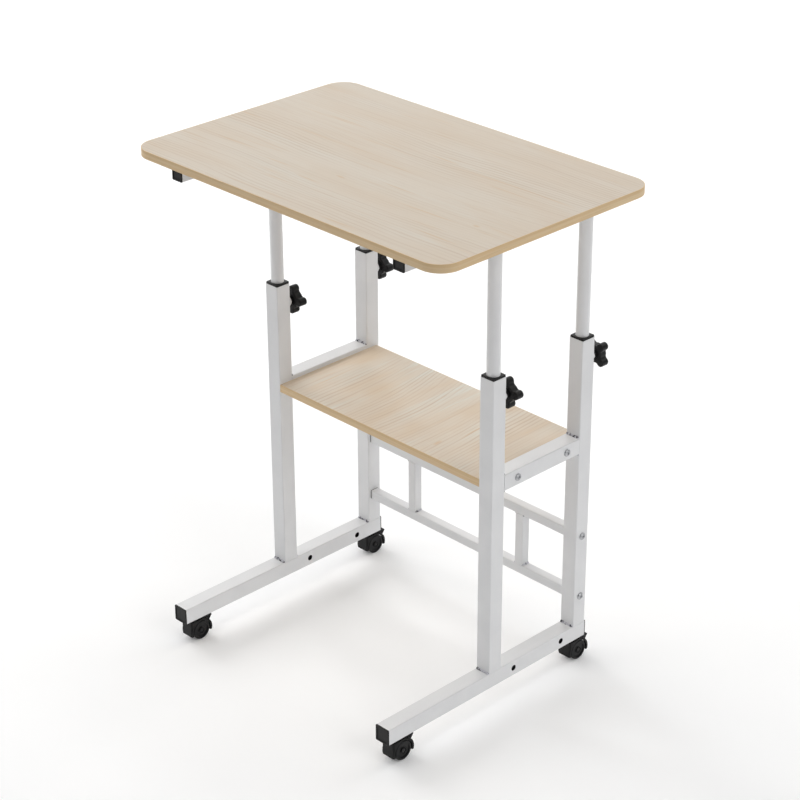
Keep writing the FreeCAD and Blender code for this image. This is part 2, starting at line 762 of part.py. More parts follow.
def castor_housing(label):
    """The moulded hood over both wheels, its web between them, and the lugs of the pedal."""
    body = new_body(label)
    block = new_sketch(body, lift="-hood_skirt")
    rectangle(block, "hood_width", "hood_front", y="-hood_front / 2")
    pad(body, block, "hood_top + hood_skirt")
    round_edges(body, "hood_corner_radius", lambda edge: (
        is_upright(edge) and is_at(middle_of(edge).y, "-hood_front")))
    round_edges(body, "hood_top_round", lambda edge: (
        is_at(middle_of(edge).z, "hood_top") and middle_of(edge).y < -CLOSE))

    fender = new_sketch(body, "YZ_Plane")
    circle(fender, "2 * hood_radius")
    pad(body, fender, "hood_width", both_ways=True)
    below = new_sketch(body, "YZ_Plane")
    rectangle(below, "2 * hood_radius + 2 * hood_wall", "hood_radius", y="-hood_skirt - hood_radius / 2")
    cut(body, below, both_ways=True)
    boss = new_sketch(body, "YZ_Plane")
    circle(boss, "2 * web_boss_radius")
    pad(body, boss, "web_thickness", both_ways=True)
    lugs = new_sketch(body, "YZ_Plane")
    circle(lugs, "2 * lug_radius", "pivot_y", "pivot_z")
    pad(body, lugs, "slot_width + 2 * lug_thickness", both_ways=True)

    slot = new_sketch(body, "YZ_Plane")
    front, foot = "slot_front_share * hood_radius", "slot_foot_share * hood_radius"
    outside = "hood_radius + hood_headroom"
    outline(slot, [(front, "slot_top_share * hood_radius"), (front, outside), (outside, outside),
                   (outside, foot), ("slot_root_y_share * hood_radius", foot)])
    cut(body, slot, "slot_width", both_ways=True)
    for lift, flip in (("web_thickness / 2", True), ("-web_thickness / 2", False)):
        well = new_sketch(body, "YZ_Plane", lift=lift)
        circle(well, "2 * (wheel_radius + hood_gap)")
        cut(body, well, flip=flip)

    drill(body, "YZ_Plane", "axle_diameter + 2 * seat_clearance", [("0", "0")], both_ways=True)
    pivot_hole = "2 * pedal_pin_radius + 2 * slide_clearance"
    drill(body, "YZ_Plane", pivot_hole, [("pivot_y", "pivot_z")], both_ways=True)
    socket = new_sketch(body, lift="hood_top")
    circle(socket, "stem_pin_diameter + 2 * slide_clearance", y="-castor_trail")
    cut(body, socket, "hood_top - pin_foot + collar_gap")
    return body


def castor_wheel(label):
    """One wheel about Z, its inner face on Z = 0, dished on the outer face."""
    body = new_body(label)
    disc = new_sketch(body)
    circle(disc, "2 * wheel_radius")
    circle(disc, "axle_diameter + 2 * slide_clearance")
    pad(body, disc, "wheel_width")
    round_edges(body, "wheel_tread_round", lambda edge: (
        is_at(off_axis(edge), "wheel_radius") and not is_upright(edge)))
    dish = new_sketch(body, lift="wheel_width")
    circle(dish, "2 * dish_outer_radius")
    circle(dish, "2 * wheel_hub_radius")
    cut(body, dish, "dish_depth")
    recess = new_sketch(body, lift="wheel_width")
    circle(recess, "2 * wheel_hub_radius - 2 * axle_end_play")
    cut(body, recess, "hub_recess")
    return body


def brake_pedal(label):
    """The pedal: a wedge that hinges on the lugs and swings its shoe through the slot to the treads."""
    body = new_body(label)
    arm = new_sketch(body, "YZ_Plane")
    top, tip = "pivot_z + pedal_knuckle", "pivot_z + pedal_knuckle - pedal_drop"
    outline(arm, [("pivot_y", top), ("pedal_reach", tip), ("pedal_reach", f"{tip} - pedal_tip"),
                  ("shoe_y_share * hood_radius", "shoe_z_share * hood_radius"),
                  ("heel_y_share * hood_radius", "heel_z_share * hood_radius"),
                  ("pivot_y", "pivot_z - pedal_knuckle")])
    pad(body, arm, "pedal_width", both_ways=True)
    knuckle = new_sketch(body, "YZ_Plane")
    circle(knuckle, "2 * pedal_knuckle", "pivot_y", "pivot_z")
    pad(body, knuckle, "pedal_width", both_ways=True)
    pin = new_sketch(body, "YZ_Plane")
    circle(pin, "2 * pedal_pin_radius", "pivot_y", "pivot_z")
    pad(body, pin, "slot_width + 2 * lug_thickness", both_ways=True)
    return body


def make_castors():
    """Four castors, with the stems and nuts that hold them in the feet."""
    head = ("axle_head_diameter / 2", "axle_head_thickness")
    for corner, x, stem_y, turn in corners(STEM_ROWS):
        place = (x, f"{stem_y} + castor_trail", "wheel_radius")
        name = f"castor_{corner}"
        node(castor_housing(f"{name}_housing"), *place)
        shaft = ("axle_diameter / 2", "2 * axle_half")
        axle = turned(f"{name}_axle", "-axle_half - axle_head_thickness", [head, shaft, head])
        node(axle, *place, TO_RIGHT)
        for side, (sign, outward) in SIDES.items():
            wheel_x = f"{x} + {sign} * wheel_inner"
            node(castor_wheel(f"{name}_{side}_wheel"), wheel_x, *place[1:], outward)
        node(brake_pedal(f"{name}_brake_pedal"), *place)

    thread = "foot_wall + castor_nut_thickness + stem_protrusion"
    stem = turned("castor_stem", "-collar_thickness - stem_pin_length", [
        ("stem_pin_diameter / 2", "stem_pin_length"), ("collar_diameter / 2", "collar_thickness"),
        ("stem_thread_diameter / 2", thread)])
    nut = hex_nut("castor_nut", "castor_nut_flats", "castor_nut_thickness",
                  "stem_thread_diameter + 2 * seat_clearance")
    spots = [(x, y) for corner, x, y, turn in corners(STEM_ROWS)]
    group("castor_stems", stem, [(x, y, "castor_height", UPRIGHT) for x, y in spots])
    group("castor_nuts", nut, [(x, y, "castor_height + foot_wall", UPRIGHT) for x, y in spots])


def check_model():
    """Stop on a failed feature, a cut that misses, or a piece with no sound solid."""
    for item in doc.Objects:
        if {"Invalid", "Error"} & set(item.State):
            raise RuntimeError(f"{item.Name} failed: {item.State}")
        if item.TypeId == "PartDesign::Pocket" and item.Shape.Volume > item.BaseFeature.Shape.Volume - CLOSE:
            raise RuntimeError(f"{item.Name} cuts nothing")
    for item in nodes:
        if item.Shape.isNull() or not item.Shape.isValid() or not item.Shape.Solids:
            raise RuntimeError(f"{item.Label} has no valid solid")


make_tabletop()
make_top_rails()
make_inner_tubes()
make_posts()
make_feet()
make_shelf()
make_back_brace()
make_knobs()
make_castors()
doc.recompute()
check_model()

os.makedirs("parts", exist_ok=True)
for item in nodes:
    item.Shape.exportStep(f"parts/{item.Label}.step")
print(f"{len(nodes)} sub-parts written")
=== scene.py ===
"""A rolling laptop desk in a plain studio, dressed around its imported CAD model."""

import logging
import math
from collections.abc import Iterable, Sequence
from dataclasses import dataclass
from enum import Enum

import bmesh
import bpy
from bpy.types import ColorRamp, Material, Mesh, Node, NodeSocket, NodeTree, Object
from mathutils import Matrix, Vector


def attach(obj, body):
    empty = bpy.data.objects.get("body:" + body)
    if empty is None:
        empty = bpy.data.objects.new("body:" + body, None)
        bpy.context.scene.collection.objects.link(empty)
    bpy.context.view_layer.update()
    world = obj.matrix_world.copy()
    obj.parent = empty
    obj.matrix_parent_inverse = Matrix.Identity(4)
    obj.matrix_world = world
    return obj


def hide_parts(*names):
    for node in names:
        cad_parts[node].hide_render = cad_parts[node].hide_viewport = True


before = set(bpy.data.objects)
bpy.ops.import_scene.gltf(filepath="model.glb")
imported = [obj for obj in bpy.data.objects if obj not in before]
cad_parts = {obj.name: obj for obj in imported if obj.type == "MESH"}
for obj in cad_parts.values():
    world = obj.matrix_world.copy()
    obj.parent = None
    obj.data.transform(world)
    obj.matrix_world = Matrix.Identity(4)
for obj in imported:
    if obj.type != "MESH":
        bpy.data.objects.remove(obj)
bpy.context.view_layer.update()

LOG = logging.getLogger("desk")

# A millimetre and a doubled point's gap in metres, a sharp edge's turn, a cutter's overrun in mm
MM = 0.001
DOUBLED = 1e-7
CREASE = math.radians(32)
OVERRUN = 1.0
TURNED_SIDES = 40

Colour = tuple[float, float, float]
Point = tuple[float, float, float]
Pair = tuple[float, float]
Settings = dict[str, object] | None
Inputs = dict[str | int, object] | None


class Slot(Enum):
    """The record's material slots."""

    WOOD = "wood_laminate"
    BAND = "edge_band"
    POWDER = "white_powder_coat"
    PLASTIC = "black_plastic"
    WHEEL = "wheel_nylon"
    ZINC = "zinc_steel"
    BLACK_STEEL = "black_steel"


class Grain(Enum):
    """The way that a board's grain runs, as a turn of its pattern about Z in degrees."""

    ALONG_X = 0.0
    ALONG_Y = 90.0


class Facing(Enum):
    """The way that a fastener's head points, as the turn of its own Z axis."""

    DOWN = (math.pi, 0.0, 0.0)
    LEFT = (0.0, -math.pi / 2, 0.0)
    RIGHT = (0.0, math.pi / 2, 0.0)
    REAR = (-math.pi / 2, 0.0, 0.0)


# Shader building

class Signal:
    """A socket of a shader tree. Arithmetic on it adds Math nodes."""

    def __init__(self, recipe: "Recipe", socket: NodeSocket) -> None:
        """Wrap a socket of a recipe's tree."""
        self.recipe = recipe
        self.socket = socket

    def _maths(self, operation: str, *terms: "Signal | float") -> "Signal":
        """Add one Math node.

        Args:
            operation: The node's operation.
            terms: Its values or links, in order.

        Returns:
            The node's result.
        """
        return self.recipe.node("ShaderNodeMath", {"operation": operation}, dict(enumerate(terms)))

    def __add__(self, other: "Signal | float") -> "Signal":
        """Sum."""
        return self._maths("ADD", self, other)

    __radd__ = __add__

    def __sub__(self, other: "Signal | float") -> "Signal":
        """Difference."""
        return self._maths("SUBTRACT", self, other)

    def __rsub__(self, other: float) -> "Signal":
        """Difference from a number."""
        return self._maths("SUBTRACT", other, self)

    def __mul__(self, other: "Signal | float") -> "Signal":
        """Product."""
        return self._maths("MULTIPLY", self, other)

    __rmul__ = __mul__

    def __truediv__(self, other: "Signal | float") -> "Signal":
        """Quotient."""
        return self._maths("DIVIDE", self, other)

    def __pow__(self, other: float) -> "Signal":
        """Power."""
        return self._maths("POWER", self, other)

    def root(self) -> "Signal":
        """Square root."""
        return self._maths("SQRT", self)

    def cycle(self) -> "Signal":
        """Fractional part."""
        return self._maths("FRACT", self)

    def size(self) -> "Signal":
        """Absolute value."""
        return self._maths("ABSOLUTE", self)

    def larger(self, other: "Signal | float") -> "Signal":
        """The larger of two values."""
        return self._maths("MAXIMUM", self, other)

    def step(self, low: float, high: float) -> "Signal":
        """Rise smoothly from 0 at low to 1 at high.

        Args:
            low: The value below which the result is 0.
            high: The value above which it is 1.

        Returns:
            The smooth step.
        """
        inputs = {"Value": self, "From Min": low, "From Max": high}
        return self.recipe.node("ShaderNodeMapRange", {"interpolation_type": "SMOOTHSTEP"}, inputs)


class Tree:
    """A node tree, filled node by node."""

    def __init__(self, tree: NodeTree) -> None:
        """Start from an empty tree."""
        self.tree = tree
        tree.nodes.clear()

    def add(self, kind: str, settings: Settings = None, inputs: Inputs = None) -> Node:
        """Add a node.

        Args:
            kind: The node's type.
            settings: Its properties, set first; "stops" sets a ramp's grey stops.
            inputs: Values or links of its sockets, by name or place.

        Returns:
            The node.
        """
        item = self.tree.nodes.new(kind)
        for name, value in (settings or {}).items():
            if name == "stops":
                self._set_stops(item.color_ramp, value)
            else:
                setattr(item, name, value)
        for key, value in (inputs or {}).items():
            self.fill(item.inputs[key], value)
        return item

    def fill(self, socket: NodeSocket, value: object) -> None:
        """Set or link one socket.

        Args:
            socket: The socket.
            value: A plain value, or an output or a signal to link.
        """
        source = value.socket if isinstance(value, Signal) else value
        if isinstance(source, NodeSocket):
            self.tree.links.new(source, socket)
        else:
            socket.default_value = source

    @staticmethod
    def _set_stops(ramp: ColorRamp, stops: Sequence[Pair]) -> None:
        """Give a ramp grey stops.

        Args:
            ramp: The ramp.
            stops: Each stop's place and level.
        """
        while len(ramp.elements) < len(stops):
            ramp.elements.new(1.0)
        for element, (place, level) in zip(ramp.elements, stops):
            element.position = place
            element.color = (level, level, level, 1.0)


class Recipe(Tree):
    """The node tree of one material."""

    def __init__(self, name: str) -> None:
        """Start a material with a bare Principled shader.

        Args:
            name: The material's name.
        """
        self.material = bpy.data.materials.new(name)
        self.material.use_nodes = True
        super().__init__(self.material.node_tree)
        self.shader = self.add("ShaderNodeBsdfPrincipled")
        self.add("ShaderNodeOutputMaterial", {}, {"Surface": self.shader.outputs["BSDF"]})

    def node(self, kind: str, settings: Settings = None, inputs: Inputs = None,
             output: str | int = 0) -> Signal:
        """Add a node and take one of its outputs."""
        return Signal(self, self.add(kind, settings, inputs).outputs[output])

    def place(self, scale: Point = (1.0, 1.0, 1.0), turn: float = 0.0) -> Signal:
        """The point on the piece, in metres of the desk's frame.

        Args:
            scale: How far each axis is stretched after the turn.
            turn: A turn about Z in degrees.

        Returns:
            The vector.
        """
        point = self.node("ShaderNodeTexCoord", output="Object")
        if turn:
            rotation = (0.0, 0.0, math.radians(turn))
            point = self.node("ShaderNodeMapping", {}, {"Vector": point, "Rotation": rotation})
        return self.node("ShaderNodeMapping", {}, {"Vector": point, "Scale": scale})

    def noise(self, vector: Signal, detail: float = 2.0, roughness: float = 0.5) -> Signal:
        """A noise from 0 to 1 at one cycle to a unit of the vector."""
        inputs = {"Vector": vector, "Scale": 1.0, "Detail": detail, "Roughness": roughness}
        return self.node("ShaderNodeTexNoise", {}, inputs, output="Fac")

    def speckle(self, cycles: float, detail: float = 2.0, roughness: float = 0.5) -> Signal:
        """A noise that is alike along all axes, in cycles a metre."""
        return self.noise(self.place((cycles, cycles, cycles)), detail, roughness)

    def axis(self, vector: Signal, name: str) -> Signal:
        """One component of a vector."""
        return self.node("ShaderNodeSeparateXYZ", {}, {0: vector}, output=name)

    def blend(self, factor: Signal | float, first: Signal | Colour, second: Signal | Colour) -> Signal:
        """Mix two colours.

        Args:
            factor: How much of the second there is.
            first: The colour at 0.
            second: The colour at 1.

        Returns:
            The mixed colour.
        """
        ends = [c if isinstance(c, Signal) else (*c, 1.0) for c in (first, second)]
        inputs = {0: factor, 6: ends[0], 7: ends[1]}
        return self.node("ShaderNodeMix", {"data_type": "RGBA"}, inputs, output=2)

    def shaded(self, colour: Signal, level: float) -> Signal:
        """A colour times a level."""
        return self.node("ShaderNodeVectorMath", {"operation": "SCALE"}, {"Vector": colour, "Scale": level})

    def set(self, **sockets: object) -> None:
        """Set or link the shader's own sockets, named with _ for a space."""
        for name, value in sockets.items():
            self.fill(self.shader.inputs[name.replace("_", " ")], value)

    def bump(self, height: Signal, depth: float, strength: float) -> None:
        """Raise the surface by a height.

        Args:
            height: The height, from 0 to 1.
            depth: What a height of 1 is, in metres.
            strength: How much of it shows.
        """
        inputs = {"Height": height, "Distance": depth, "Strength": strength}
        self.set(Normal=self.node("ShaderNodeBump", {}, inputs))


# Finishes

@dataclass(frozen=True)
class Finish:
    """A surface finish. Each kind paints its own recipe, with lengths in metres and cycles to a metre."""

    name: str
    slot: Slot

    def paint(self, recipe: Recipe) -> None:
        """Fill in the recipe's shader."""
        raise NotImplementedError

    def material(self) -> Material:
        """Make the material, or find the one made before.

        Returns:
            The material.
        """
        made = bpy.data.materials.get(self.name)
        if made is None:
            recipe = Recipe(self.name)
            self.paint(recipe)
            made = recipe.material
        return made


@dataclass(frozen=True)
class Fleck:
    """An ochre mark in the wood, in metres along and across the grain."""

    along: float
    across: float
    length: float
    width: float
    strength: float = 0.9


@dataclass(frozen=True)
class WoodLaminate(Finish):
    """A printed maple laminate: close, nearly straight grain, pale streaks, ochre patches and flecks."""

    grain: Grain
    heart: float
    ring_spacing: float
    rise: float
    sway: float
    contrast: float
    streak: float
    stain: float
    # Partly the laminate's own level, partly painted light: the shelf is painted lighter than the top to
    # offset the shade under the top.
    tone_and_painted_light: float
    flecks: tuple[Fleck, ...]
    pale: Colour = (0.745, 0.656, 0.542)
    warm: Colour = (0.728, 0.618, 0.490)
    line: Colour = (0.560, 0.412, 0.287)
    chalk: Colour = (0.755, 0.735, 0.660)
    ochre: Colour = (0.696, 0.504, 0.312)
    late_wood: tuple[Pair, ...] = ((0.0, 0.0), (0.50, 0.06), (0.84, 1.0), (1.0, 0.0))
    drift_scale: Point = (2.2, 4.2, 4.2)
    waver_scale: Point = (11.0, 40.0, 40.0)
    waver: float = 0.0065
    year_scale: Pair = (0.45, 2.0)
    shown_scale: Point = (3.0, 10.0, 10.0)
    fibre_scale: Point = (22.0, 620.0, 620.0)
    thread_scale: Point = (4.5, 260.0, 260.0)
    dash_scale: Point = (75.0, 1700.0, 1700.0)
    cloud_scale: Point = (4.0, 17.0, 17.0)
    patch_scale: Point = (6.0, 20.0, 20.0)
    chalk_scale: Point = (2.6, 120.0, 60.0)
    ochre_scale: Point = (7.0, 190.0, 90.0)
    relief: float = 0.00006

    def paint(self, recipe: Recipe) -> None:
        """Paint the rings of a far heart, then streaks, patches, fibres and flecks.

        Args:
            recipe: What it fills in.
        """
        turn = self.grain.value

        def printed(scale: Point, detail: float = 2.0, roughness: float = 0.5) -> Signal:
            """A noise stretched along the grain."""
            return recipe.noise(recipe.place(scale, turn), detail, roughness)

        spot = recipe.place(turn=turn)
        along, across = recipe.axis(spot, "X"), recipe.axis(spot, "Y")
        drift = printed(self.drift_scale, 1.0) - 0.5
        waver = printed(self.waver_scale, 3.0) - 0.5
        bent = across + drift * self.sway + waver * self.waver
        place = ((bent - self.heart) ** 2.0 + (along * self.rise) ** 2.0).root() / self.ring_spacing
        late = recipe.node("ShaderNodeValToRGB", {"stops": self.late_wood}, {"Fac": place.cycle()}, "Color")
        age = {"X": place * self.year_scale[0], "Y": along * self.year_scale[1]}
        year = recipe.noise(recipe.node("ShaderNodeCombineXYZ", {}, age), 1.0)
        shown = printed(self.shown_scale).step(0.34, 0.66)
        fibre = printed(self.fibre_scale, 3.0, 0.6)
        thread = printed(self.thread_scale, 4.0, 0.6)
        dash = printed(self.dash_scale).step(0.58, 0.74)
        cloud = printed(self.cloud_scale, 3.0).step(0.3, 0.7)
        patch = printed(self.patch_scale)
        chalky = (printed(self.chalk_scale).step(0.46, 0.74) * 0.7 + 0.3) * patch.step(0.44, 0.68)
        ochre = printed(self.ochre_scale).step(0.61, 0.80) + (1.0 - patch.step(0.33, 0.47)) * self.stain
        for fleck in self.flecks:
            off = ((along - fleck.along) / fleck.length) ** 2.0 + ((bent - fleck.across) / fleck.width) ** 2.0
            ochre = ochre + (1.0 - off.root().step(0.2, 1.0)) * fleck.strength
        lines = late * (year.step(0.32, 0.66) * 0.8 + 0.2) * (shown * 0.75 + 0.25)
        depth = lines * self.contrast + (thread - 0.5) * 0.60 + (fibre - 0.5) * 0.2 + dash * 0.08
        ground = recipe.blend(chalky * self.streak, recipe.blend(cloud, self.pale, self.warm), self.chalk)
        ground = recipe.blend(ochre * 0.8, ground, self.ochre)
        # The tone scales the whole colour, painted light included.
        recipe.set(Base_Color=recipe.shaded(recipe.blend(depth.larger(0.0), ground, self.line), self.tone_and_painted_light))
        recipe.set(Roughness=0.44 + fibre * 0.12, Specular_IOR_Level=0.42)
        recipe.bump(fibre * 0.6 - dash * 0.5 - lines * 0.2, self.relief, 0.5)


@dataclass(frozen=True)
class EdgeBand(Finish):
    """A tan plastic edge band: fine streaks along it, a pale line at its middle and a darker upper strip."""

    middle: float
    base: Colour = (0.736, 0.536, 0.309)
    light: Colour = (0.790, 0.630, 0.415)
    dark: Colour = (0.582, 0.396, 0.208)
    fine_scale: Pair = (7.0, 420.0)
    wide_scale: Pair = (3.0, 150.0)
    core_half: float = 0.0019
    upper_strip: Pair = (0.0012, 0.0045)
    relief: float = 0.00005

    def paint(self, recipe: Recipe) -> None:
        """Streak the band along its run, as the print on it does.

        Args:
            recipe: What it fills in.
        """
        spot = recipe.place()
        run = recipe.axis(spot, "X") + recipe.axis(spot, "Y")
        level = recipe.axis(spot, "Z") - self.middle

        def streaked(scale: Pair, detail: float, roughness: float = 0.5) -> Signal:
            """A noise over the band's run and height."""
            path = {"X": run * scale[0], "Y": level * scale[1]}
            return recipe.noise(recipe.node("ShaderNodeCombineXYZ", {}, path), detail, roughness)

        fine, wide = streaked(self.fine_scale, 3.0, 0.6), streaked(self.wide_scale, 2.0)
        core = 1.0 - (level.size() / self.core_half).step(0.4, 1.0)
        ground = recipe.blend(wide.step(0.50, 0.74) * 0.5 + core * 0.35, self.base, self.light)
        shade = fine.step(0.46, 0.78) * 0.5 + level.step(*self.upper_strip) * 0.25
        recipe.set(Base_Color=recipe.blend(shade, ground, self.dark))
        recipe.set(Roughness=0.46 + fine * 0.14, Specular_IOR_Level=0.35)
        recipe.bump(fine, self.relief, 0.5)


@dataclass(frozen=True)
class PowderCoat(Finish):
    """Baked white powder coat with a fine orange peel. A tube's bore may be coloured near-black, as painted
    shade.
    """

    base: Colour = (0.800, 0.803, 0.812)
    thin: Colour = (0.745, 0.750, 0.765)
    # The bore's near-black colour is painted shade, not a bare metal colour.
    bore: Colour = (0.022, 0.022, 0.024)
    bore_centre: Pair | None = None
    bore_half: float = 0.0118
    bore_edge: float = 0.0002
    film_cycles: float = 26.0
    peel_cycles: float = 640.0
    speck_cycles: float = 2600.0
    relief: float = 0.00004

    def paint(self, recipe: Recipe) -> None:
        """Vary the film a little, give it its peel and paint shade into the bore.

        Args:
            recipe: What it fills in.
        """
        film = recipe.speckle(self.film_cycles, 3.0)
        peel = recipe.speckle(self.peel_cycles, 2.0, 0.4)
        speck = recipe.speckle(self.speck_cycles, 1.0)
        coat = recipe.blend(film.step(0.35, 0.75) * 0.5, self.base, self.thin)
        # Painted shade: inside the tube's bore the colour is near-black, so holes into it look dark.
        if self.bore_centre:
            spot, (side, height) = recipe.place(), self.bore_centre
            beside = (recipe.axis(spot, "X").size() - side).size()
            above = (recipe.axis(spot, "Z") - height).size()
            outside = beside.larger(above).step(self.bore_half, self.bore_half + self.bore_edge)
            coat = recipe.blend(outside, self.bore, coat)
        recipe.set(Base_Color=coat)
        recipe.set(Roughness=0.30 + film * 0.10 + speck * 0.05, Coat_Weight=0.12, Coat_Roughness=0.25)
        recipe.bump(peel + speck * 0.25, self.relief, 0.6)


@dataclass(frozen=True)
class MouldedPlastic(Finish):
    """Black moulded plastic with a spark-eroded texture."""

    base: Colour = (0.0060, 0.0060, 0.0063)
    worn: Colour = (0.0125, 0.0125, 0.0130)
    roughness: float = 0.34
    gloss: float = 0.25
    flow_cycles: float = 70.0
    pit_cycles: float = 1400.0
    relief: float = 0.00005

    def paint(self, recipe: Recipe) -> None:
        """Give the mould's texture and slight flow marks.

        Args:
            recipe: What it fills in.
        """
        flow = recipe.speckle(self.flow_cycles, 3.0)
        pit = recipe.speckle(self.pit_cycles, 2.0, 0.55)
        recipe.set(Base_Color=recipe.blend(flow.step(0.42, 0.78) * 0.7 + pit * 0.2, self.base, self.worn))
        recipe.set(Roughness=self.roughness + flow * 0.10 + pit * 0.08, Specular_IOR_Level=self.gloss)
        recipe.bump(pit, self.relief, 0.7)


@dataclass(frozen=True)
class ZincPlate(Finish):
    """Bright zinc on steel, faintly turned and mottled."""

    base: Colour = (0.560, 0.570, 0.590)
    dull: Colour = (0.400, 0.405, 0.415)
    mottle_cycles: float = 420.0
    scratch_scale: Point = (300.0, 2600.0, 2600.0)
    relief: float = 0.00003

    def paint(self, recipe: Recipe) -> None:
        """Mottle and scratch the plating.

        Args:
            recipe: What it fills in.
        """
        mottle = recipe.speckle(self.mottle_cycles, 4.0, 0.6)
        scratch = recipe.noise(recipe.place(self.scratch_scale))
        recipe.set(Base_Color=recipe.blend(mottle.step(0.35, 0.72), self.base, self.dull), Metallic=1.0)
        recipe.set(Roughness=0.26 + mottle * 0.18 + scratch * 0.06)
        recipe.bump(mottle * 0.6 + scratch * 0.4, self.relief, 0.5)


@dataclass(frozen=True)
class WeldSeam(Finish):
    """A weld bead under thin paint, scorched dark where the powder didn't take."""

    painted: Colour = (0.660, 0.660, 0.710)
    scorched: Colour = (0.045, 0.047, 0.062)
    patch_cycles: float = 210.0
    relief: float = 0.0002

    def paint(self, recipe: Recipe) -> None:
        """Let the scorched metal show in patches.

        Args:
            recipe: What it fills in.
        """
        patch = recipe.speckle(self.patch_cycles, 3.0, 0.6)
        bare = patch.step(0.50, 0.58)
        recipe.set(Base_Color=recipe.blend(bare, self.painted, self.scorched), Roughness=0.32 + bare * 0.2)
        recipe.bump(patch, self.relief, 0.6)


@dataclass(frozen=True)
class StudioPaint(Finish):
    """The lit floor's matt paint, with the faintest mottle, lost in the white room far from the desk."""

    base: Colour = (0.980, 0.980, 0.980)
    shade: Colour = (0.970, 0.970, 0.970)
    near: float = 1.8
    far: float = 4.5
    glow: float = 0.07
    roll_cycles: float = 3.0

    def paint(self, recipe: Recipe) -> None:
        """Roll the paint on and let it fade.

        Args:
            recipe: What it fills in.
        """
        spot = recipe.place()
        reach = (recipe.axis(spot, "X") ** 2.0 + recipe.axis(spot, "Y") ** 2.0).root()
        roll = recipe.speckle(self.roll_cycles)
        recipe.set(Base_Color=recipe.blend(roll, self.base, self.shade), Emission_Strength=self.glow)
        recipe.set(Roughness=0.9, Specular_IOR_Level=0.1, Alpha=1.0 - reach.step(self.near, self.far))


# The top and the shelf are one laminate; the shelf's higher tone is painted light that offsets the shade cast
# on it by the top.
TOP_WOOD = WoodLaminate(
    "maple_top", Slot.WOOD, Grain.ALONG_X, heart=0.62, ring_spacing=0.0066, rise=0.35, sway=0.085,
    contrast=0.66, streak=0.45, stain=0.08, tone_and_painted_light=0.855, flecks=(
        Fleck(0.175, 0.072, 0.140, 0.0020), Fleck(0.160, -0.066, 0.075, 0.0022),
        Fleck(-0.010, -0.057, 0.012, 0.0025), Fleck(0.236, -0.058, 0.008, 0.0035),
        Fleck(-0.16, 0.09, 0.060, 0.0016)))
SHELF_WOOD = WoodLaminate(
    "maple_shelf", Slot.WOOD, Grain.ALONG_Y, heart=-0.55, ring_spacing=0.0070, rise=0.5, sway=0.08,
    contrast=0.78, streak=1.25, stain=0.38, tone_and_painted_light=1.010, flecks=(
        Fleck(-0.076, -0.097, 0.045, 0.030, 0.40), Fleck(-0.021, 0.075, 0.012, 0.0045),
        Fleck(-0.081, 0.091, 0.040, 0.0025)))
TOP_BAND = EdgeBand("tan_top_band", Slot.BAND, middle=0.754)
SHELF_BAND = EdgeBand("tan_shelf_band", Slot.BAND, middle=0.3605)
POWDER = PowderCoat("white_powder", Slot.POWDER)
# The foot tube's inside is painted near-black: painted shade behind its holes.
FOOT_POWDER = PowderCoat("white_powder_foot", Slot.POWDER, bore_centre=(0.216, 0.050))
PLASTIC = MouldedPlastic("black_moulded_plastic", Slot.PLASTIC)
CASTOR_PLASTIC = MouldedPlastic(
    "black_castor_plastic", Slot.PLASTIC, base=(0.0045, 0.0045, 0.0048), gloss=0.18)
NYLON = MouldedPlastic(
    "black_wheel_nylon", Slot.WHEEL, base=(0.0065, 0.0065, 0.0070), worn=(0.0130, 0.0130, 0.0136),
    pit_cycles=2200.0, relief=0.00003)
ZINC = ZincPlate("bright_zinc", Slot.ZINC)
BLACK_STEEL = MouldedPlastic(
    "blackened_steel", Slot.BLACK_STEEL, base=(0.0110, 0.0110, 0.0118), roughness=0.28)
WELD = WeldSeam("weld_seam", Slot.POWDER)
FLOOR_PAINT = StudioPaint("studio_paint", Slot.POWDER)


# Meshes

def mesh_object(name: str, mesh: Mesh) -> Object:
    """Put a mesh in the scene.

    Args:
        name: The object's name.
        mesh: Its mesh.

    Returns:
        The new object, at the origin.
    """
    item = bpy.data.objects.new(name, mesh)
    bpy.context.scene.collection.objects.link(item)
    return item


def ringed(rings: Sequence[Sequence[Vector]], name: str) -> Object:
    """Skin a closed form over rings of points; a ring of one point is a pole.

    Args:
        rings: The rings, from one end to the other.
        name: The object's name.

    Returns:
        The object, with its creases sharp.
    """
    shape = bmesh.new()
    rows = [[shape.verts.new(point) for point in ring] for ring in rings]
    for low, high in zip(rows, rows[1:]):
        count = max(len(low), len(high))
        for index in range(count):
            after = (index + 1) % count
            ends = ((low, index), (low, after), (high, after), (high, index))
            shape.faces.new(list(dict.fromkeys(row[place % len(row)] for row, place in ends)))
    bmesh.ops.recalc_face_normals(shape, faces=shape.faces)
    for face in shape.faces:
        face.smooth = True
    mesh = bpy.data.meshes.new(name)
    shape.to_mesh(mesh)
    shape.free()
    mesh.set_sharp_from_angle(angle=CREASE)
    return mesh_object(name, mesh)


def arc(first: int, last: int, step: int) -> list[float]:
    """Angles in radians, by whole degrees from first to last."""
    return [math.radians(degrees) for degrees in range(first, last + 1, step)]


def turned(profile: Sequence[Pair], name: str) -> Object:
    """Turn a profile about Z.

    Args:
        profile: Radius and height pairs in millimetres, from pole to pole.
        name: The object's name.

    Returns:
        The object.
    """
    rings = []
    for radius, height in profile:
        count = TURNED_SIDES if radius else 1
        angles = [math.tau * step / count for step in range(count)]
        rings.append([Vector((radius * math.cos(a), radius * math.sin(a), height)) * MM for a in angles])
    return ringed(rings, name)


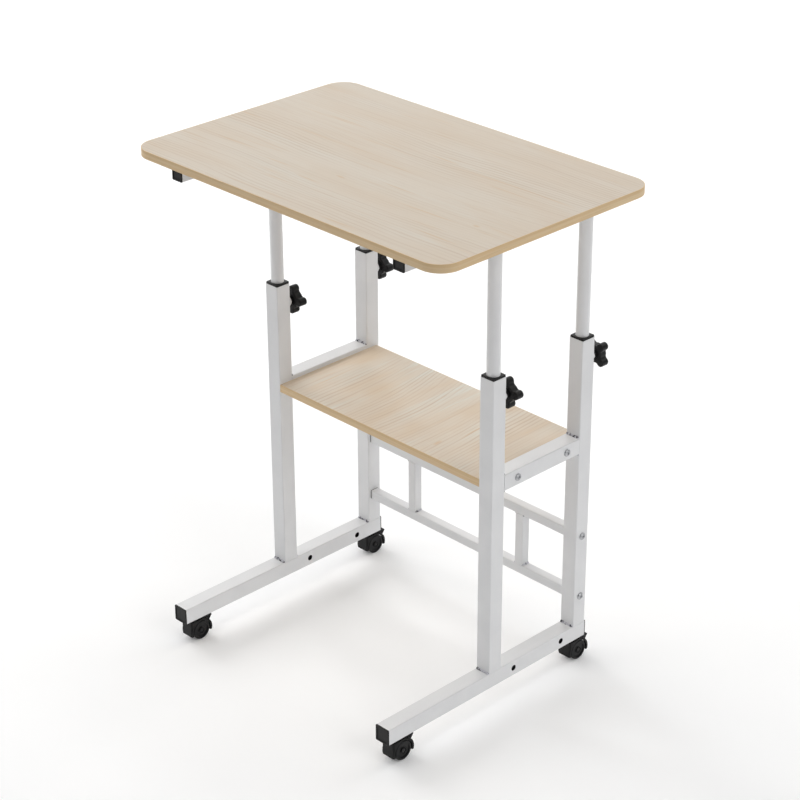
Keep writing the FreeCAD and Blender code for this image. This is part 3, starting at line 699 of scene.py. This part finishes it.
def prism(outline: Sequence[Pair], low: float, high: float, name: str) -> Object:
    """A straight prism about Z in millimetres, closed at both ends.

    Args:
        outline: The corners of its outline.
        low: Its lower end.
        high: Its upper end.
        name: The object's name.

    Returns:
        The object.
    """
    pole = [(0.0, 0.0)]
    rings = ((pole, low), (outline, low), (outline, high), (pole, high))
    return ringed([[Vector((x, y, z)) * MM for x, y in ring] for ring, z in rings], name)


def hexagon(across_flats: float) -> list[Pair]:
    """The corners of a hexagon, the first on +X, sized across its flats."""
    radius = across_flats / 2 / math.cos(math.pi / 6)
    return [(radius * math.cos(turn), radius * math.sin(turn)) for turn in arc(0, 300, 60)]


def rectangle(length: float, width: float) -> list[Pair]:
    """The corners of a rectangle about the origin."""
    x, y = length / 2, width / 2
    return [(x, y), (-x, y), (-x, -y), (x, -y)]


def settled(item: Object) -> Object:
    """Turn an object's modifiers into plain mesh.

    Args:
        item: The object.

    Returns:
        The same object, with no modifiers.
    """
    graph = bpy.context.evaluated_depsgraph_get()
    mesh = bpy.data.meshes.new_from_object(item.evaluated_get(graph))
    mesh.name = item.name
    item.modifiers.clear()
    item.data = mesh
    return item


def carve(item: Object, *cutters: Object) -> Object:
    """Cut other objects out of one, and delete them.

    Args:
        item: The object to cut.
        cutters: What is cut out of it.

    Returns:
        The cut object.
    """
    for cutter in cutters:
        step = item.modifiers.new(cutter.name, "BOOLEAN")
        step.operation = "DIFFERENCE"
        step.solver = "EXACT"
        step.object = cutter
    settled(item)
    for cutter in cutters:
        bpy.data.objects.remove(cutter)
    for face in item.data.polygons:
        face.use_smooth = True
    item.data.set_sharp_from_angle(angle=CREASE)
    return item


# Geometry Nodes

class Plan(Tree):
    """A Geometry Nodes tree that starts from the carrier's mesh and ends in one plain mesh of one finish."""

    def __init__(self, name: str, inputs: dict[str, str]) -> None:
        """Start a tree.

        Args:
            name: The tree's name.
            inputs: Each named input and its socket type.
        """
        super().__init__(bpy.data.node_groups.new(name, "GeometryNodeTree"))
        self.tree.is_modifier = True
        face = self.tree.interface
        face.new_socket("Geometry", in_out="INPUT", socket_type="NodeSocketGeometry")
        kinds = {**inputs, "Finish": "NodeSocketMaterial"}
        self.keys = {label: face.new_socket(label, in_out="INPUT", socket_type=kind).identifier
                     for label, kind in kinds.items()}
        face.new_socket("Geometry", in_out="OUTPUT", socket_type="NodeSocketGeometry")
        self.given = self.add("NodeGroupInput")

    def close(self, geometry: NodeSocket) -> None:
        """End the tree: realize, set the finish and hand the mesh out.

        Args:
            geometry: What the tree has made.
        """
        real = self.add("GeometryNodeRealizeInstances", {}, {"Geometry": geometry})
        inputs = {"Geometry": real.outputs[0], "Material": self.given.outputs["Finish"]}
        painted = self.add("GeometryNodeSetMaterial", {}, inputs)
        self.add("NodeGroupOutput", {}, {"Geometry": painted.outputs[0]})

    def run(self, carrier: Object, finish: Finish, values: dict[str, object]) -> Object:
        """Run the tree on a carrier and keep the plain mesh.

        Args:
            carrier: The object whose mesh the tree starts from.
            finish: The finish of the result.
            values: The tree's named inputs.

        Returns:
            The carrier, which now holds the result.
        """
        step = carrier.modifiers.new(self.tree.name, "NODES")
        step.node_group = self.tree
        for label, value in {**values, "Finish": finish.material()}.items():
            step[self.keys[label]] = value
        return settled(carrier)


def bead_plan() -> Plan:
    """A tree that lays a rippled weld bead along each edge of its carrier.

    Returns:
        The plan, with inputs for the bead's radius, its ripple spacing and its seed.
    """
    segments, rings, flatness, least, most = 12, 7, 0.72, 0.82, 1.16
    plan = Plan("weld_bead", {
        "Radius": "NodeSocketFloat", "Spacing": "NodeSocketFloat", "Seed": "NodeSocketInt"})
    given = plan.given.outputs
    path = plan.add("GeometryNodeMeshToCurve", {}, {"Mesh": given["Geometry"]})
    steps = plan.add("GeometryNodeResampleCurve", {"mode": "LENGTH"},
                     {"Curve": path.outputs[0], "Length": given["Spacing"]})
    tangent = plan.add("GeometryNodeInputTangent")
    aim = plan.add("FunctionNodeAlignRotationToVector", {"axis": "Z"}, {"Vector": tangent.outputs[0]})
    drop = plan.add("GeometryNodeMeshUVSphere", {}, {"Segments": segments, "Rings": rings, "Radius": 1.0})
    smooth = plan.add("GeometryNodeSetShadeSmooth", {}, {"Geometry": drop.outputs["Mesh"]})
    vary = plan.add("FunctionNodeRandomValue", {"data_type": "FLOAT"},
                    {2: least, 3: most, "Seed": given["Seed"]})
    size = plan.add("ShaderNodeMath", {"operation": "MULTIPLY"}, {0: vary.outputs[1], 1: given["Radius"]})
    scale = plan.add("ShaderNodeVectorMath", {"operation": "SCALE"},
                     {0: (1.0, 1.0, flatness), "Scale": size.outputs[0]})
    beads = plan.add("GeometryNodeInstanceOnPoints", {}, {
        "Points": steps.outputs[0], "Instance": smooth.outputs[0], "Rotation": aim.outputs[0],
        "Scale": scale.outputs[0]})
    plan.close(beads.outputs[0])
    return plan


def repeat_plan() -> Plan:
    """A tree that sets one fastener on each point of its carrier, turned by the point's own turn.

    Returns:
        The plan, with an input for the fastener.
    """
    plan = Plan("fastener_set", {"Fastener": "NodeSocketObject"})
    given = plan.given.outputs
    fastener = plan.add("GeometryNodeObjectInfo", {"transform_space": "ORIGINAL"},
                        {"Object": given["Fastener"]})
    turn = plan.add("GeometryNodeInputNamedAttribute", {"data_type": "FLOAT_VECTOR"}, {"Name": "turn"})
    rotation = plan.add("FunctionNodeEulerToRotation", {}, {0: turn.outputs[0]})
    copies = plan.add("GeometryNodeInstanceOnPoints", {}, {
        "Points": given["Geometry"], "Instance": fastener.outputs["Geometry"],
        "Rotation": rotation.outputs[0]})
    plan.close(copies.outputs[0])
    return plan


def dress_nodes(finish: Finish, names: Iterable[str]) -> None:
    """Give CAD nodes a finish.

    Args:
        finish: The finish.
        names: The nodes.
    """
    for name in names:
        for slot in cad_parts[name].material_slots:
            slot.material = finish.material()
        LOG.info("%s: %s", name, finish.name)


def add_piece(piece: Object, body: str, finish: Finish, stands_for: str | None = None) -> None:
    """Hand a finished piece to its body.

    Args:
        piece: The piece.
        body: The CAD body that it rides on.
        finish: Its finish.
        stands_for: The CAD node that it replaces, if any.
    """
    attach(piece, body)
    if stands_for:
        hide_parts(stands_for)
    LOG.info("%s rides on %s: %s, %d faces", piece.name, body, finish.name, len(piece.data.polygons))


# Sub-assemblies

CORNERS = tuple(f"{row}_{side}" for row in ("front", "rear") for side in ("left", "right"))
SIDES = {"left": -1, "right": 1}
OUTWARD = ((-1, Facing.LEFT), (1, Facing.RIGHT))


@dataclass(frozen=True)
class Posts:
    """Where the four posts stand, in millimetres."""

    x: float = 216.0
    front_y: float = -2.25
    rear_y: float = 174.75
    half: float = 12.5

    @property
    def columns(self) -> list[float]:
        """The middles of the left and right posts."""
        return [sign * self.x for sign in SIDES.values()]

    @property
    def rows(self) -> Pair:
        """The middles of the front and rear posts."""
        return self.front_y, self.rear_y

    @property
    def outer_face(self) -> float:
        """How far out the posts' outer faces are."""
        return self.x + self.half


@dataclass(frozen=True)
class Bead:
    """A weld bead's radius and ripple spacing in millimetres, and the seed of its ripples."""

    radius: float
    spacing: float
    seed: int


@dataclass
class Fasteners:
    """The shared fastener forms, in millimetres and degrees."""

    bolt_head: float = 11.0
    bolt_height: float = 3.5
    bolt_rim: float = 0.7
    bolt_edge: float = 0.15
    bolt_shank: float = 6.0
    bolt_tip: float = 0.6
    dome_end: int = 60
    dome_step: int = 6
    socket_flats: float = 4.0
    socket_depth: float = 2.0
    lead_foot: Pair = (2.05, -0.35)
    lead_mouth: Pair = (2.75, 0.3)
    screw_head: float = 8.0
    screw_height: float = 2.4
    screw_crown: float = 1.2
    crown_step: int = 15
    screw_shank: float = 4.0
    screw_length: float = 29.0
    screw_point: float = 3.0
    recess: Pair = (4.4, 0.9)
    recess_depth: float = 1.3
    nut_flats: float = 13.0
    nut_height: float = 8.0
    nut_bore: float = 8.12
    nut_ease: float = 0.5
    nut_face_share: float = 0.96
    nut_chamfer: float = 30.0
    nut_crease: float = 24.0
    nut_sides: int = 72
    barrel: float = 10.0
    barrel_edge: float = 0.5
    barrel_slot: Pair = (12.0, 1.4)
    slot_depth: float = 1.4

    def button_bolt(self, length: float) -> Object:
        """A domed button-head bolt with a hexagon socket.

        Args:
            length: The shank's length.

        Returns:
            The bolt, its head on Z = 0.
        """
        head, shank, rim, edge, tip = (
            self.bolt_head / 2, self.bolt_shank / 2, self.bolt_rim, self.bolt_edge, self.bolt_tip)
        dome = [(head * math.cos(a), rim + (self.bolt_height - rim) * math.sin(a))
                for a in arc(0, self.dome_end, self.dome_step)]
        flat = dome[-1][1]
        bolt = turned([(0, -length), (shank - tip, -length), (shank, -length + tip), (shank, 0),
                       (head - edge, 0), (head, edge), *dome, (0, flat)], "button_bolt")
        floor = self.bolt_height - self.socket_depth
        socket = prism(hexagon(self.socket_flats), floor, self.bolt_height + OVERRUN, "socket")
        low, high = flat + self.lead_foot[1], flat + self.lead_mouth[1]
        lead = turned([(0, low), (self.lead_foot[0], low), (self.lead_mouth[0], high), (0, high)], "lead")
        return carve(bolt, socket, lead)

    def cross_screw(self) -> Object:
        """A pan-head screw with a cross recess.

        Returns:
            The screw, its head on Z = 0.
        """
        head, shank = self.screw_head / 2, self.screw_shank / 2
        crown, top = self.screw_crown, self.screw_height
        curve = [(head - crown + crown * math.cos(a), crown + crown * math.sin(a))
                 for a in arc(0, 90, self.crown_step)]
        screw = turned([(0, -self.screw_length), (shank, -self.screw_length + self.screw_point), (shank, 0),
                        (head, 0), *curve, (0, top)], "cross_screw")
        sizes = (self.recess, self.recess[::-1])
        arms = [prism(rectangle(*size), top - self.recess_depth, top + OVERRUN, f"arm_{index}")
                for index, size in enumerate(sizes)]
        return carve(screw, *arms)

    def weld_nut(self) -> Object:
        """A hexagon nut with chamfered corners.

        Returns:
            The nut, standing on Z = 0.
        """
        half, bore, ease, top = self.nut_flats / 2, self.nut_bore / 2, self.nut_ease, self.nut_height
        face, slope = half * self.nut_face_share, math.tan(math.radians(self.nut_chamfer))
        angles = [math.tau * step / self.nut_sides for step in range(self.nut_sides)]
        reach = [half / math.cos((a % (math.pi / 3)) - math.pi / 6) for a in angles]
        shaved = [(r - face) * slope for r in reach]

        def ring(radii: Sequence[float], heights: Sequence[float]) -> list[Vector]:
            """One ring from a radius and a height at each angle."""
            points = zip(radii, angles, heights)
            return [Vector((r * math.cos(a), r * math.sin(a), z)) * MM for r, a, z in points]

        def level(radius: float, height: float) -> list[Vector]:
            """One flat round ring."""
            return ring([radius] * self.nut_sides, [height] * self.nut_sides)

        nut = ringed([
            level(bore, ease), level(bore + ease, 0), level(face, 0), ring(reach, shaved),
            ring(reach, [top - s for s in shaved]), level(face, top), level(bore + ease, top),
            level(bore, top - ease), level(bore, ease)], "weld_nut")
        shape = bmesh.new()
        shape.from_mesh(nut.data)
        bmesh.ops.remove_doubles(shape, verts=shape.verts, dist=DOUBLED)
        bmesh.ops.recalc_face_normals(shape, faces=shape.faces)
        shape.to_mesh(nut.data)
        shape.free()
        nut.data.set_sharp_from_angle(angle=math.radians(self.nut_crease))
        return nut

    def barrel_nut(self) -> Object:
        """A barrel nut, as long as it is wide, with a screwdriver slot in its end.

        Returns:
            The nut, about its middle, the slotted end towards +Z.
        """
        half, edge = self.barrel / 2, self.barrel_edge
        barrel = turned([(0, -half), (half - edge, -half), (half, -half + edge), (half, half - edge),
                         (half - edge, half), (0, half)], "barrel_nut")
        slot = prism(rectangle(*self.barrel_slot), half - self.slot_depth, half + OVERRUN, "slot")
        return carve(barrel, slot)


@dataclass
class Workshop:
    """What the sub-assemblies share: the posts, the fasteners and the plans of repeats and beads."""

    posts: Posts
    fasteners: Fasteners
    repeat: Plan
    bead: Plan

    def fasten(self, name: str, fastener: Object, finish: Finish,
               places: Sequence[tuple[Point, Facing]], body: str, stands_for: str) -> None:
        """Set copies of a fastener at places, and delete the one that they copy.

        Args:
            name: The set's name.
            fastener: The fastener, its head towards +Z.
            finish: The set's finish.
            places: Each copy's point in millimetres and the way that its head points.
            body: The CAD body that the set rides on.
            stands_for: The CAD node that it replaces.
        """
        mesh = bpy.data.meshes.new(name)
        mesh.from_pydata([Vector(point) * MM for point, facing in places], [], [])
        turns = mesh.attributes.new("turn", "FLOAT_VECTOR", "POINT")
        turns.data.foreach_set("vector", [angle for point, facing in places for angle in facing.value])
        made = self.repeat.run(mesh_object(name, mesh), finish, {"Fastener": fastener})
        bpy.data.objects.remove(fastener)
        add_piece(made, body, finish, stands_for)

    def weld(self, name: str, bead: Bead, paths: Iterable[Sequence[Point]], body: str) -> None:
        """Lay a weld bead along paths.

        Args:
            name: The weld's name.
            bead: The bead's size.
            paths: Each path's points in millimetres.
            body: The CAD body that the weld rides on.
        """
        points: list[Vector] = []
        edges: list[tuple[int, int]] = []
        for path in paths:
            start = len(points)
            points.extend(Vector(point) * MM for point in path)
            edges.extend((index, index + 1) for index in range(start, len(points) - 1))
        mesh = bpy.data.meshes.new(name)
        mesh.from_pydata(points, edges, [])
        values = {"Radius": bead.radius * MM, "Spacing": bead.spacing * MM, "Seed": bead.seed}
        add_piece(self.bead.run(mesh_object(name, mesh), WELD, values), body, WELD)


@dataclass
class WorkTop:
    """The top, its rails and the tubes that carry it. Sizes in millimetres and degrees."""

    shop: Workshop
    rail_underside: float = 728.0
    screw_rows: tuple[float, ...] = (-131.25, -35.25, 60.75, 156.75)
    tube_radius: float = 9.5
    bead: Bead = Bead(1.5, 1.3, 3)
    bead_middles: tuple[int, int] = (90, 270)
    bead_half: int = 66
    bead_step: int = 12

    def build(self) -> None:
        """Drive the screws and weld the tubes to the rails."""
        posts, level, radius = self.shop.posts, self.rail_underside, self.tube_radius
        places = [((x, y, level), Facing.DOWN) for x in posts.columns for y in self.screw_rows]
        screw = self.shop.fasteners.cross_screw()
        self.shop.fasten("rail_screws", screw, ZINC, places, "top", "tabletop_screws")

        paths = [[(x + radius * math.cos(a), y + radius * math.sin(a), level)
                  for a in arc(middle - self.bead_half, middle + self.bead_half, self.bead_step)]
                 for x in posts.columns for y in posts.rows for middle in self.bead_middles]
        self.shop.weld("tube_welds", self.bead, paths, "top")

    def dress(self) -> None:
        """Finish the CAD nodes of the top."""
        dress_nodes(TOP_WOOD, ["tabletop"])
        dress_nodes(TOP_BAND, ["tabletop_edge_band"])
        dress_nodes(POWDER, [f"top_rail_{side}" for side in SIDES])
        dress_nodes(POWDER, [f"inner_tube_{corner}" for corner in CORNERS])
        dress_nodes(PLASTIC, ["top_rail_end_caps"])
        dress_nodes(ZINC, ["tabletop_screws"])


@dataclass
class SideFrames:
    """The two welded side frames: feet, posts and mid rails. Sizes in millimetres."""

    shop: Workshop
    foot_top: float = 62.5
    rail_ends: Pair = (348.0, 373.0)
    bead: Bead = Bead(2.5, 1.5, 7)
    bead_inset: float = 2.5

    def build(self) -> None:
        """Weld the posts to the feet and the mid rails to the posts."""
        posts = self.shop.posts
        reach = posts.half - self.bead_inset
        between = (posts.front_y + posts.half, posts.rear_y - posts.half)
        seams = [(y, self.foot_top) for y in (posts.front_y - posts.half, *between)]
        seams += [(y, z) for y in between for z in self.rail_ends]
        paths = [[(x - reach, y, z), (x, y, z), (x + reach, y, z)] for x in posts.columns for y, z in seams]
        self.shop.weld("frame_welds", self.bead, paths, "base")

    def dress(self) -> None:
        """Finish the CAD nodes of the side frames."""
        dress_nodes(POWDER, [f"post_{corner}" for corner in CORNERS])
        dress_nodes(FOOT_POWDER, [f"foot_{side}" for side in SIDES])
        dress_nodes(POWDER, [f"mid_rail_{side}" for side in SIDES])
        dress_nodes(PLASTIC, ["tube_bushes", "foot_end_caps"])


@dataclass
class Shelf:
    """The shelf and its bolts. Sizes in millimetres."""

    shop: Workshop
    nut_x: float = 183.5
    height: float = 360.5
    rows: tuple[float, ...] = (36.25, 136.25)
    bolt_length: float = 50.0

    def build(self) -> None:
        """Bolt the shelf to the mid rails."""
        face, level = self.shop.posts.outer_face, self.height
        bolt = self.shop.fasteners.button_bolt(self.bolt_length)
        bolts = [((sign * face, y, level), facing) for sign, facing in OUTWARD for y in self.rows]
        self.shop.fasten("shelf_button_bolts", bolt, ZINC, bolts, "base", "shelf_bolts")
        nut = self.shop.fasteners.barrel_nut()
        nuts = [((sign * self.nut_x, y, level), Facing.DOWN) for sign in SIDES.values() for y in self.rows]
        self.shop.fasten("shelf_slotted_nuts", nut, ZINC, nuts, "base", "shelf_barrel_nuts")

    def dress(self) -> None:
        """Finish the CAD nodes of the shelf."""
        dress_nodes(SHELF_WOOD, ["shelf"])
        dress_nodes(SHELF_BAND, ["shelf_edge_bands"])
        dress_nodes(ZINC, ["shelf_bolts", "shelf_barrel_nuts"])


@dataclass
class BackBrace:
    """The welded brace between the rear posts. Sizes in millimetres."""

    shop: Workshop
    bars: Pair = (110.5, 210.5)
    upright_x: float = 112.5
    half: float = 7.5
    bolt_length: float = 40.0
    bead: Bead = Bead(2.0, 1.1, 11)
    bead_inset: float = 2.0

    def build(self) -> None:
        """Bolt the bars to the posts and weld the uprights between them."""
        face, row = self.shop.posts.outer_face, self.shop.posts.rear_y
        bolt = self.shop.fasteners.button_bolt(self.bolt_length)
        bolts = [((sign * face, row, z), facing) for sign, facing in OUTWARD for z in self.bars]
        self.shop.fasten("brace_button_bolts", bolt, ZINC, bolts, "base", "back_brace_bolts")

        reach, ends = self.half - self.bead_inset, (self.bars[0] + self.half, self.bars[1] - self.half)
        signs = SIDES.values()
        walls = [sign * self.upright_x + side * self.half for sign in signs for side in signs]
        paths = [[(x, row - reach, z), (x, row, z), (x, row + reach, z)] for x in walls for z in ends]
        self.shop.weld("brace_welds", self.bead, paths, "base")

    def dress(self) -> None:
        """Finish the CAD nodes of the brace."""
        dress_nodes(POWDER, ["back_upper_bar", "back_lower_bar", "back_uprights"])
        dress_nodes(PLASTIC, ["bar_end_inserts"])
        dress_nodes(ZINC, ["back_brace_bolts"])


@dataclass
class ClampKnobs:
    """The star knobs, their studs and the weld nuts behind the posts. Sizes in millimetres."""

    shop: Workshop
    height: float = 488.0

    def build(self) -> None:
        """Set the weld nuts on the posts."""
        posts, nut = self.shop.posts, self.shop.fasteners.weld_nut()
        places = [((x, y + posts.half, self.height), Facing.REAR) for y in posts.rows for x in posts.columns]
        self.shop.fasten("clamp_weld_nuts", nut, POWDER, places, "base", "clamp_nuts")

    def dress(self) -> None:
        """Finish the CAD nodes of the knobs."""
        dress_nodes(PLASTIC, [f"knob_{corner}" for corner in CORNERS])
        dress_nodes(ZINC, [f"knob_stud_{corner}" for corner in CORNERS])
        dress_nodes(POWDER, ["clamp_nuts"])


@dataclass
class Castors:
    """The four braked twin-wheel castors."""

    def build(self) -> None:
        """The castors keep their CAD shapes."""

    def dress(self) -> None:
        """Finish the CAD nodes of the castors."""
        for corner in CORNERS:
            name = f"castor_{corner}"
            dress_nodes(CASTOR_PLASTIC, [f"{name}_housing", f"{name}_brake_pedal"])
            dress_nodes(NYLON, [f"{name}_{side}_wheel" for side in SIDES])
            dress_nodes(BLACK_STEEL, [f"{name}_axle"])
        dress_nodes(ZINC, ["castor_stems", "castor_nuts"])


@dataclass(frozen=True)
class Softbox:
    """A square area light. Metres and watts."""

    name: str
    place: Point
    power: float
    aim: Point = (0.0, 0.0, 0.3)
    side: float = 3.6

    def build(self) -> None:
        """Hang the light, aimed at its point and out of the camera's sight."""
        lamp = bpy.data.lights.new(self.name, "AREA")
        lamp.shape = "SQUARE"
        lamp.size = self.side
        lamp.energy = self.power
        item = bpy.data.objects.new(self.name, lamp)
        item.location = self.place
        way = Vector(self.aim) - Vector(self.place)
        item.rotation_euler = way.to_track_quat("-Z", "Y").to_euler()
        item.visible_camera = False
        bpy.context.scene.collection.objects.link(item)


@dataclass
class Studio:
    """The floor, the soft light and the camera. Metres, degrees and pixels."""

    floor_half: float = 9.0
    sky: float = 0.18
    white: tuple[float, ...] = (1.0, 1.0, 1.0, 1.0)
    lights: tuple[Softbox, ...] = (
        Softbox("right_side", (5.2, 0.4, 3.2), 98.0),
        Softbox("left_side", (-5.2, 0.2, 3.2), 169.0),
        Softbox("left_front", (-3.8, -3.9, 3.2), 68.0),
        Softbox("left_rear", (-3.8, 3.9, 3.2), 60.0),
        Softbox("rear", (0.4, 5.4, 3.2), 108.0),
        Softbox("overhead", (0.3, 0.0, 5.6), 62.0),
    )
    eye: Point = (2.082465, -1.984811, 1.859135)
    azimuth: float = 45.885
    elevation: float = 26.75
    roll: float = -0.271
    focal_pixels: float = 2282.743
    frame_pixels: float = 800.0
    sensor: float = 36.0
    far_clip: float = 100.0

    def build(self) -> None:
        """Lay the floor and set up the light and the camera."""
        reach = self.floor_half
        corners = [(-reach, -reach, 0), (reach, -reach, 0), (reach, reach, 0), (-reach, reach, 0)]
        mesh = bpy.data.meshes.new("studio_floor")
        mesh.from_pydata(corners, [], [range(len(corners))])
        floor = mesh_object("studio_floor", mesh)
        floor.data.materials.append(FLOOR_PAINT.material())
        self._light_room()
        for light in self.lights:
            light.build()
        self._set_camera()
        bpy.context.scene.view_settings.view_transform = "Standard"

    def _light_room(self) -> None:
        """Give the room an even soft light, and white where the camera looks past the floor."""
        world = bpy.data.worlds.new("studio_room")
        world.use_nodes = True
        room = Tree(world.node_tree)
        soft, seen = (room.add("ShaderNodeBackground", {}, {"Color": self.white, "Strength": level})
                      for level in (self.sky, 1.0))
        rays = room.add("ShaderNodeLightPath")
        pick = room.add("ShaderNodeMixShader", {}, {
            0: rays.outputs["Is Camera Ray"], 1: soft.outputs[0], 2: seen.outputs[0]})
        room.add("ShaderNodeOutputWorld", {}, {"Surface": pick.outputs[0]})
        bpy.context.scene.world = world

    def _set_camera(self) -> None:
        """Stand the camera where the picture was taken from."""
        turn, lift, roll = (math.radians(a) for a in (self.azimuth, self.elevation, self.roll))
        back = Vector((math.sin(turn) * math.cos(lift), -math.cos(turn) * math.cos(lift), math.sin(lift)))
        level = (-back).cross(Vector((0, 0, 1))).normalized()
        down = (-back).cross(level)
        right = level * math.cos(roll) - down * math.sin(roll)
        up = -(level * math.sin(roll) + down * math.cos(roll))
        lens = bpy.data.cameras.new("view")
        lens.sensor_width = self.sensor
        lens.lens = self.focal_pixels * self.sensor / self.frame_pixels
        lens.clip_end = self.far_clip
        camera = bpy.data.objects.new("view", lens)
        camera.matrix_world = Matrix.Translation(self.eye) @ Matrix((right, up, back)).transposed().to_4x4()
        bpy.context.scene.collection.objects.link(camera)
        bpy.context.scene.camera = camera


def main() -> None:
    """Build and dress the desk, then set it in the studio."""
    logging.basicConfig(level=logging.INFO, format="%(name)s: %(message)s")
    shop = Workshop(Posts(), Fasteners(), repeat_plan(), bead_plan())
    assemblies = (WorkTop(shop), SideFrames(shop), Shelf(shop), BackBrace(shop), ClampKnobs(shop), Castors())
    for assembly in assemblies:
        assembly.build()
        assembly.dress()
    Studio().build()


if __name__ == "__main__":
    main()
